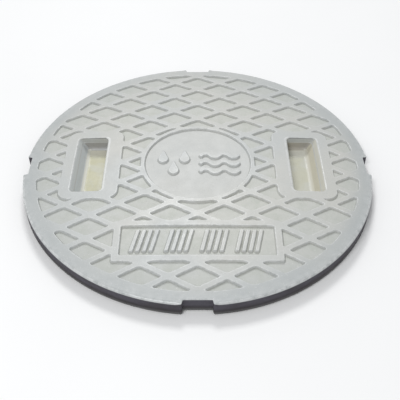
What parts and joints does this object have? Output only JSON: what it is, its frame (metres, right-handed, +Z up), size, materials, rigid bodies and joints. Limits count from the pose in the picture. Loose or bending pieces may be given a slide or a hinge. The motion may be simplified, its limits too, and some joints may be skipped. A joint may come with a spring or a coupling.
{
  "type": "manhole cover",
  "caption": "Round crowned composite manhole cover with a raised diamond tread, sunk hand pockets, a round emblem, a marking panel and notches in its rim.",
  "frame": {"origin": "centre of the flat face it rests on, which is the underside of the rubber seat ring", "axes": "+Z up through the tread; +X towards the right hand pocket; -Y towards the marking panel"},
  "size_m": [0.4486, 0.4486, 0.0285],
  "materials": {
    "cover": "light grey moulded glass-filled resin, satin",
    "pocket": "cream moulded plastic, satin",
    "gasket": "soft grey rubber",
    "insert_brass": "turned",
    "screw_steel": "plain stainless",
    "seat_rubber": "black, matt",
    "rod_steel": "mill finish"
  },
  "bodies": {
    "root": {"cover_plate": "cover", "hand_pocket_left": "pocket", "hand_pocket_right": "pocket", "pocket_gasket_left": "gasket", "pocket_gasket_right": "gasket", "pocket_inserts_left": "insert_brass", "pocket_inserts_right": "insert_brass", "pocket_screws_left": "screw_steel", "pocket_screws_right": "screw_steel", "seat_ring": "seat_rubber", "reinforcing_hoop": "rod_steel", "reinforcing_rods_cross": "rod_steel", "reinforcing_rods_long": "rod_steel"}
  },
  "joints": []
}
